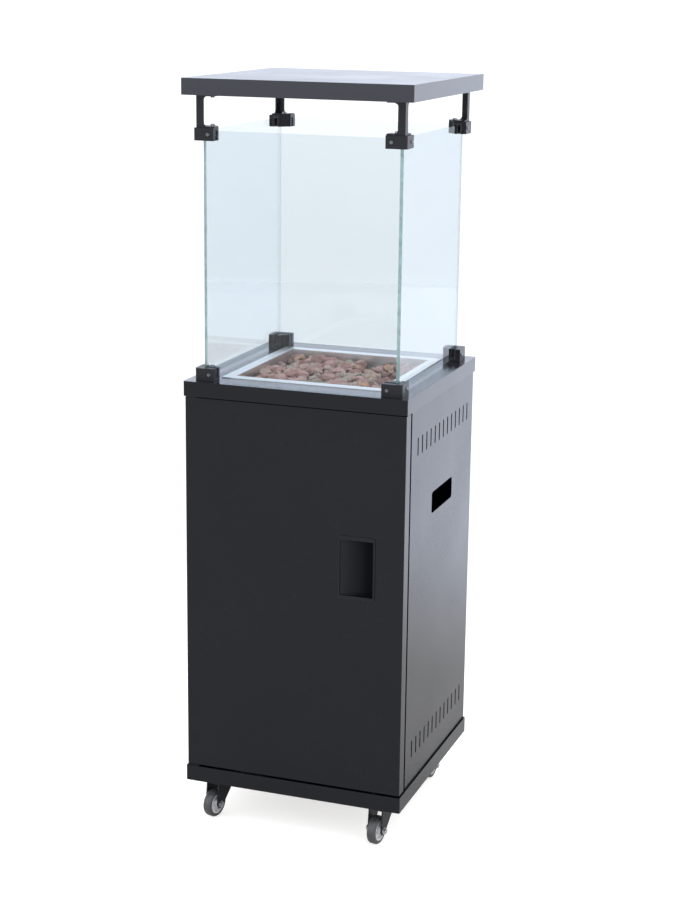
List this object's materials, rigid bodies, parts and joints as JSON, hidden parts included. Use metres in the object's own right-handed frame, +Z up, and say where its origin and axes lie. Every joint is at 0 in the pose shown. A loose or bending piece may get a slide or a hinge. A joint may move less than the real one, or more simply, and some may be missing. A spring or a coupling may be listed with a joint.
{
  "type": "outdoor gas heater",
  "caption": "Square gas heater on casters: cabinet with a door, lava-rock burner in its deck, glass panes round the flame and a lid on four posts.",
  "frame": {"origin": "centre of the body's footprint, on the floor under the casters", "axes": "+Z up, the door faces -Y, +X is to the right of someone facing the door"},
  "size_m": [0.4, 0.4, 1.306],
  "materials": {
    "cabinet_black": "fine satin powder coat",
    "frame_black": "satin black",
    "stainless": "brushed",
    "chrome": "bright zinc",
    "brass": "cast and machined",
    "copper": "drawn tube",
    "knob_black": "matte",
    "button": "gloss",
    "ceramic": "glazed",
    "lava_rock": "rough porous rock",
    "glass": "clear tempered",
    "gasket": "matte",
    "tread": "matte grey tread",
    "hub": "satin nylon"
  },
  "bodies": {
    "cabinet": {"base_tray": "cabinet_black", "left_panel": "cabinet_black", "right_panel": "cabinet_black", "rear_panel": "cabinet_black", "top_rail": "cabinet_black", "deck": "cabinet_black", "panel_screws": "frame_black", "door_magnet": "frame_black", "hinge_brackets": "cabinet_black", "hinge_pins": "stainless", "burner_tray": "stainless", "heat_shield": "stainless", "ring_burner": "stainless", "mixer_tube": "stainless", "injector": "brass", "gas_pipe": "copper", "gas_valve": "brass", "control_bezel": "frame_black", "igniter_body": "knob_black", "pilot_bracket": "stainless", "flame_probes": "ceramic", "lava_rocks": "lava_rock", "glass_front": "glass", "glass_rear": "glass", "glass_left": "glass", "glass_right": "glass", "glass_gaskets": "gasket", "lower_clamps": "frame_black", "upper_clamps": "frame_black", "clamp_screws": "chrome", "corner_bolts": "chrome", "lid_posts": "frame_black", "lid": "cabinet_black", "lid_liner": "stainless", "caster_plates": "frame_black", "caster_bolts": "chrome"},
    "door": {"door_skin": "cabinet_black", "door_liner": "cabinet_black", "door_handle": "frame_black", "door_strike": "stainless"},
    "plunger": {"valve_plunger": "stainless"},
    "knob": {"valve_stem": "stainless", "control_knob": "knob_black"},
    "button": {"igniter_button": "button"},
    "caster_fl": {"fork_fl": "frame_black", "axle_fl": "chrome"},
    "wheel_fl": {"tyre_fl": "tread", "hub_fl": "hub"},
    "caster_fr": {"fork_fr": "frame_black", "axle_fr": "chrome"},
    "wheel_fr": {"tyre_fr": "tread", "hub_fr": "hub"},
    "caster_rl": {"fork_rl": "frame_black", "axle_rl": "chrome"},
    "wheel_rl": {"tyre_rl": "tread", "hub_rl": "hub"},
    "caster_rr": {"fork_rr": "frame_black", "axle_rr": "chrome"},
    "wheel_rr": {"tyre_rr": "tread", "hub_rr": "hub"}
  },
  "joints": [
    {"name": "door_hinge", "type": "hinge", "parent": "cabinet", "child": "door", "pos_m": [-0.188, -0.1875, 0.438], "axis": [0, 0, -1], "range_deg": [0, 115]},
    {"name": "knob_push", "type": "slide", "parent": "cabinet", "child": "plunger", "axis": [0, -1, 0], "range_m": [0, 0.003], "stiffness_N_per_m": 800},
    {"name": "knob_turn", "type": "hinge", "parent": "plunger", "child": "knob", "pos_m": [0, 0.14, 0.69], "axis": [0, 1, 0], "range_deg": [0, 180]},
    {"name": "igniter_push", "type": "slide", "parent": "cabinet", "child": "button", "axis": [0, -1, 0], "range_m": [0, 0.004], "stiffness_N_per_m": 600},
    {"name": "swivel_fl", "type": "hinge", "parent": "cabinet", "child": "caster_fl", "pos_m": [-0.153, -0.153, 0.065], "axis": [0, 0, 1], "continuous": true},
    {"name": "roll_fl", "type": "hinge", "parent": "caster_fl", "child": "wheel_fl", "pos_m": [-0.15784, -0.17241, 0.025], "axis": [0.9703, -0.2419, 0], "continuous": true},
    {"name": "swivel_fr", "type": "hinge", "parent": "cabinet", "child": "caster_fr", "pos_m": [0.153, -0.153, 0.065], "axis": [0, 0, 1], "continuous": true},
    {"name": "roll_fr", "type": "hinge", "parent": "caster_fr", "child": "wheel_fr", "pos_m": [0.15022, -0.17281, 0.025], "axis": [0.9903, -0.1392, 0], "continuous": true},
    {"name": "swivel_rl", "type": "hinge", "parent": "cabinet", "child": "caster_rl", "pos_m": [-0.153, 0.153, 0.065], "axis": [0, 0, 1], "continuous": true},
    {"name": "roll_rl", "type": "hinge", "parent": "caster_rl", "child": "wheel_rl", "pos_m": [-0.14987, 0.13325, 0.025], "axis": [0.9877, 0.1564, 0], "continuous": true},
    {"name": "swivel_rr", "type": "hinge", "parent": "cabinet", "child": "caster_rr", "pos_m": [0.153, 0.153, 0.065], "axis": [0, 0, 1], "continuous": true},
    {"name": "roll_rr", "type": "hinge", "parent": "caster_rr", "child": "wheel_rr", "pos_m": [0.1516, 0.13305, 0.025], "axis": [0.9976, -0.0698, 0], "continuous": true}
  ]
}
